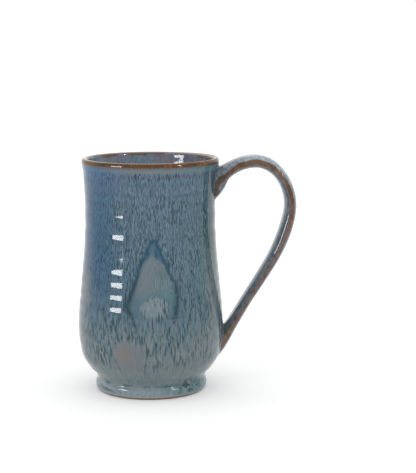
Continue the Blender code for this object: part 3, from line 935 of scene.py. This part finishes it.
def cup_clay():
    """The clay under the outer glaze, the lip and the liner, down to the turned recess under the mug."""
    clay_arc = np.linspace(ARC_NECK + 0.6 * MM, ARC[-1], 150)
    radius = np.interp(clay_arc, ARC, PROFILE_R) - np.interp(clay_arc, ARC, NORMAL_R) * CLAY_DEPTH
    height = np.interp(clay_arc, ARC, PROFILE_Z) - np.interp(clay_arc, ARC, NORMAL_Z) * CLAY_DEPTH
    side = [(BOSS_RADIUS, CUP_BOTTOM_HEIGHT), (CUP_BOTTOM_RADIUS, CUP_BOTTOM_HEIGHT)]
    wall = list(zip(np.maximum(radius, 0.0), height))
    wall[-1] = (0.0, wall[-1][1])
    return turned_clay("cup_clay", recess_outline() + side + wall, 160)


def rounded_corner(centre_x, radius, side):
    """A quarter circle that stands on the table, from its lowest point up. side is 1 outward, -1 inward."""
    return [(centre_x + side * radius * math.sin(t), radius - radius * math.cos(t))
            for t in np.linspace(0.0, math.pi / 2, 8)]


def foot_clay():
    """The bare foot ring, rounded where it stands."""
    outer_corner = rounded_corner(29.3 * MM, 1.0 * MM, 1)
    inner_corner = rounded_corner(25.7 * MM, 0.9 * MM, -1)[::-1]
    outside = [(30.5 * MM, 2.4 * MM), (30.1 * MM, 4.9 * MM), (29.35 * MM, FOOT_HEIGHT)]
    inside = [(24.5 * MM, FOOT_HEIGHT), (24.75 * MM, 2.5 * MM)]
    return turned_clay("foot_clay", outer_corner + outside + inside + inner_corner, 240)


def strap_clay(name, first, last):
    """A stretch of the strap's clay, between two shares of its length."""
    points, _, _, _ = strap_surface(CLAY_DEPTH, 48, 240)
    keep = [row for row in range(len(points)) if first <= row / len(points) <= last]
    grid = points[keep]
    rows, columns = grid.shape[:2]
    faces = grid_faces(0, rows, columns).tolist()
    faces.append(list(range(columns))[::-1])
    faces.append([(rows - 1) * columns + k for k in range(columns)])
    return to_mesh(name, grid.reshape(-1, 3), faces)


# ---------------------------------------------------------------- materials
GLAZE_IOR = 1.36
# How much darker a dark streak and how much paler a pale one is than the glaze round it, where the streaks
# are fine and where they are coarse
DARK_STREAKS = ((0.25, 0.42, 0.46, 1.0), (0.26, 0.41, 0.41, 1.0))
PALE_STREAKS = ((1.46, 1.38, 1.32, 1.0), (1.26, 1.22, 1.20, 1.0))


class Nodes:
    """A material's node tree, with short ways to add nodes. Every value is a number, a tuple or a socket."""

    def __init__(self, name):
        self.material = bpy.data.materials.new(name)
        self.material.use_nodes = True
        self.tree = self.material.node_tree
        self.shader = self.tree.nodes["Principled BSDF"]

    def fill(self, node, inputs):
        """Sets each of these inputs of the node, or joins it to its value where that is a socket."""
        for key, value in inputs.items():
            if isinstance(value, bpy.types.NodeSocket):
                self.tree.links.new(value, node.inputs[key])
            else:
                node.inputs[key].default_value = value

    def add(self, kind, inputs, output=0, **settings):
        """One output of a new node of this kind."""
        node = self.tree.nodes.new(kind)
        for key, value in settings.items():
            setattr(node, key, value)
        self.fill(node, inputs)
        return node.outputs[output]

    def attribute(self, name, output):
        """A value that the mesh carries at each point."""
        return self.add("ShaderNodeAttribute", {}, output, attribute_name=name)

    def maths(self, operation, *values, clamp=False):
        return self.add("ShaderNodeMath", dict(enumerate(values)), operation=operation, use_clamp=clamp)

    def drawn_out(self, vector, share):
        """The vector with its height times this share, which draws a pattern out along the height."""
        return self.add("ShaderNodeVectorMath", {0: vector, 1: (1.0, 1.0, share)}, operation="MULTIPLY")

    def noise(self, vector, scale, detail, roughness=0.5, distortion=0.0):
        inputs = {"Vector": vector, "Scale": scale, "Detail": detail}
        inputs.update({"Roughness": roughness, "Distortion": distortion})
        return self.add("ShaderNodeTexNoise", inputs, "Fac")

    def between(self, value, low, high, to_low=0.0, to_high=1.0):
        """Goes smoothly from to_low to to_high while the value goes from low to high."""
        inputs = {"Value": value, "From Min": low, "From Max": high, "To Min": to_low, "To Max": to_high}
        return self.add("ShaderNodeMapRange", inputs, "Result", interpolation_type="SMOOTHSTEP")

    def mixed(self, share, first, second, blend="MIX"):
        """Two colours blended by a share."""
        inputs = {0: share, 6: first, 7: second}
        return self.add("ShaderNodeMix", inputs, 2, data_type="RGBA", blend_type=blend)

    def floats(self, share, first, second):
        """Two numbers blended by a share."""
        return self.add("ShaderNodeMix", {0: share, 2: first, 3: second}, data_type="FLOAT")

    def finish(self, colour, roughness, height, distance, strength):
        """Joins the colour and roughness to the shader, and the height as bumps of at most this distance."""
        bump = {"Height": height, "Distance": distance, "Strength": strength}
        normal = self.add("ShaderNodeBump", bump, "Normal")
        self.fill(self.shader, {"Base Color": colour, "Roughness": roughness, "Normal": normal})
        return self.material


def glaze_material(name):
    """Streaks of dark and pale glaze that run down the surface over its broad colour."""
    n = Nodes(name)
    flow = n.attribute("flow", "Vector")
    tint = n.attribute("tint", "Color")
    streaks = n.attribute("streaks", "Fac")
    coarse = n.attribute("coarse", "Fac")
    short_hair = n.noise(n.drawn_out(flow, 0.17), 2350.0, 0.5)
    long_hair = n.noise(n.drawn_out(flow, 0.05), 2300.0, 0.5)
    kind = n.between(n.noise(n.drawn_out(flow, 0.4), 700.0, 0.0, 0.55), 0.50, 0.62)
    hair = n.floats(kind, short_hair, long_hair)
    dash = n.noise(n.drawn_out(flow, 0.17), 1200.0, 1.8, 0.6, 0.15)
    patch = n.noise(n.drawn_out(flow, 0.45), 120.0, 2.0)
    density = n.maths("MULTIPLY_ADD", patch, 0.24, -0.12)
    field = n.floats(coarse, hair, dash)
    dark = n.between(n.maths("ADD", field, density), 0.52, 0.61)
    pale = n.between(n.maths("SUBTRACT", field, density), 0.48, 0.36)
    dark = n.maths("MULTIPLY", dark, streaks, clamp=True)
    pale = n.maths("MULTIPLY", pale, streaks, clamp=True)
    shadow = n.mixed(1.0, tint, n.mixed(coarse, *DARK_STREAKS), "MULTIPLY")
    light = n.mixed(1.0, tint, n.mixed(coarse, *PALE_STREAKS), "MULTIPLY")
    colour = n.mixed(pale, n.mixed(dark, tint, shadow), light)
    roughness = n.between(n.noise(flow, 2600.0, 1.0), 0.35, 0.75, 0.045, 0.09)
    height = n.maths("MULTIPLY_ADD", field, 0.003, n.noise(flow, 110.0, 0.0))
    n.shader.inputs["IOR"].default_value = GLAZE_IOR
    return n.finish(colour, roughness, height, 0.08 * MM, 0.3)


def clay_material(name, colour):
    """Bare fired stoneware: sandy, toasted and matt."""
    n = Nodes(name)
    here = n.add("ShaderNodeTexCoord", {}, "Object")
    sand = n.noise(here, 2200.0, 3.0, 0.6)
    toast = n.noise(here, 140.0, 3.0)
    dark, middle, pale = [(*(share * value for value in colour), 1.0) for share in (0.62, 1.0, 1.35)]
    base = n.mixed(n.between(toast, 0.3, 0.7), dark, middle)
    base = n.mixed(n.between(sand, 0.58, 0.72, 0.0, 0.6), base, pale)
    return n.finish(base, n.between(sand, 0.3, 0.7, 0.72, 0.9), sand, 0.12 * MM, 0.7)


# ---------------------------------------------------------------- the pieces
def place(piece, material, slot, node):
    """Gives the piece its material and its body, and hides the CAD node that it stands for. slot is not
    used.
    """
    piece.data.materials.append(material)
    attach(piece, "root")
    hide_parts(node)


def foot_edge(front):
    """The lower edge of the glaze wanders a little round the foot."""
    return 0.45 * MM * lumps(stacked(np.cos(front), np.sin(front)), 0.35, 61) + 0.1 * MM


def make_mug():
    """The five glaze coats, then the five clay pieces under them."""
    glaze = glaze_material("streaked_glaze")
    rows = int((ARC_RIM_OUT - ARC_NECK) / WALL_ROW_SPACING)
    wall = cup_coat("wall_glaze_coat", ARC_NECK + SEAM, ARC_RIM_OUT - SEAM, rows, 40)
    place(wall, glaze, "outer_glaze", "outer_glaze")
    rim = cup_coat("rim_glaze_coat", ARC_RIM_OUT + SEAM, ARC_RIM_IN - SEAM, 36, 14)
    place(rim, glaze, "rim_glaze", "rim_glaze")
    liner = cup_coat("liner_glaze_coat", ARC_RIM_IN + SEAM, ARC[-1] - 0.4 * MM, 190, 50, cap=True)
    place(liner, glaze, "liner_glaze", "liner_glaze")
    foot = cup_coat("foot_glaze_coat", 0.0, ARC_NECK - SEAM, 26, 8, wavy=foot_edge)
    place(foot, glaze, "foot_glaze", "foot_glaze")
    handle = handle_coat("handle_glaze_coat")
    place(handle, glaze, "handle_glaze", "handle_glaze")

    clay = clay_material("brown_stoneware", (0.30, 0.17, 0.09))
    bare_clay = clay_material("bare_foot_clay", (0.26, 0.14, 0.07))
    place(cup_clay(), clay, "stoneware", "cup_body")
    place(foot_clay(), bare_clay, "bare_foot", "foot_ring")
    place(strap_clay("handle_clay", 0.105, 0.895), clay, "stoneware", "handle")
    place(strap_clay("upper_joint_clay", 0.035, 0.1), clay, "stoneware", "upper_joint")
    place(strap_clay("lower_joint_clay", 0.9, 0.965), clay, "stoneware", "lower_joint")


# ---------------------------------------------------------------- studio
# The camera stands in front of the mug, a little high, and looks down and slightly to the right
CAMERA_DISTANCE = 748.2 * MM
CAMERA_HEIGHT = 200.6 * MM
CAMERA_PITCH = 8.734
CAMERA_YAW = 2.46
CAMERA_LENS = 103.16
FLOOR_HALF_SIDE = 6.0
FLOOR_GLOW = 0.13
SKY_STRENGTH = 1.05


def make_camera():
    """The camera at the photograph's viewing angle, with no shift and no depth of field."""
    data = bpy.data.cameras.new("camera")
    data.sensor_fit = "VERTICAL"
    data.sensor_height = 36.0
    data.lens = CAMERA_LENS
    camera = bpy.data.objects.new("camera", data)
    camera.location = (AXIS_X, -CAMERA_DISTANCE, CAMERA_HEIGHT)
    camera.rotation_euler = (math.radians(90.0 - CAMERA_PITCH), 0.0, math.radians(-CAMERA_YAW))
    bpy.context.scene.collection.objects.link(camera)
    bpy.context.scene.camera = camera


def softbox(name, bearing, distance, low, size, strength, roll=0.0):
    """A rectangular light seen only in the gloss. bearing is its direction from the mug, in degrees right of
    the -Y side, low the height of its lower edge, strength how many times whiter than white it is, and roll
    how far it is turned in its own plane."""
    data = bpy.data.lights.new(name, "AREA")
    data.shape = "RECTANGLE"
    data.size, data.size_y = size
    data.energy = strength * size[0] * size[1] * math.pi
    light = bpy.data.objects.new(name, data)
    turn = math.radians(bearing)
    light.location = (AXIS_X + distance * math.sin(turn), -distance * math.cos(turn), low + size[1] / 2)
    facing = Euler((math.radians(90.0), 0.0, turn)).to_matrix()
    light.rotation_euler = (facing @ Euler((0.0, 0.0, math.radians(roll))).to_matrix()).to_euler()
    light.visible_diffuse = False
    bpy.context.scene.collection.objects.link(light)


def make_floor():
    """A wide sheet of white paper, lit a little from within so that the contact shadow stays pale."""
    mesh = bpy.data.meshes.new("floor")
    side = FLOOR_HALF_SIDE
    corners = [(-side, -side, 0.0), (side, -side, 0.0), (side, side, 0.0), (-side, side, 0.0)]
    mesh.from_pydata(corners, [], [(0, 1, 2, 3)])
    floor = bpy.data.objects.new("floor", mesh)
    bpy.context.scene.collection.objects.link(floor)
    paper = Nodes("white_paper")
    paper.fill(paper.shader, {"Roughness": 0.9, "Base Color": (0.97, 0.97, 0.97, 1.0)})
    paper.fill(paper.shader, {"Emission Color": (1.0, 1.0, 1.0, 1.0), "Emission Strength": FLOOR_GLOW})
    mesh.materials.append(paper.material)


def make_lights():
    """An even white sky, and two softboxes for the bright bars on the left and the line on the right."""
    world = bpy.data.worlds.new("studio")
    bpy.context.scene.world = world
    world.use_nodes = True
    sky = world.node_tree.nodes["Background"]
    sky.inputs["Color"].default_value = (1.0, 1.0, 1.0, 1.0)
    sky.inputs["Strength"].default_value = SKY_STRENGTH
    softbox("left_softbox", -56.8, distance=1.0, low=0.09, size=(0.35, 0.24), strength=24.0, roll=-6.0)
    softbox("right_softbox", 51.0, distance=1.3, low=0.45, size=(0.08, 0.5), strength=40.0)
    bpy.context.scene.view_settings.view_transform = "Standard"


make_camera()
make_floor()
make_lights()
make_mug()
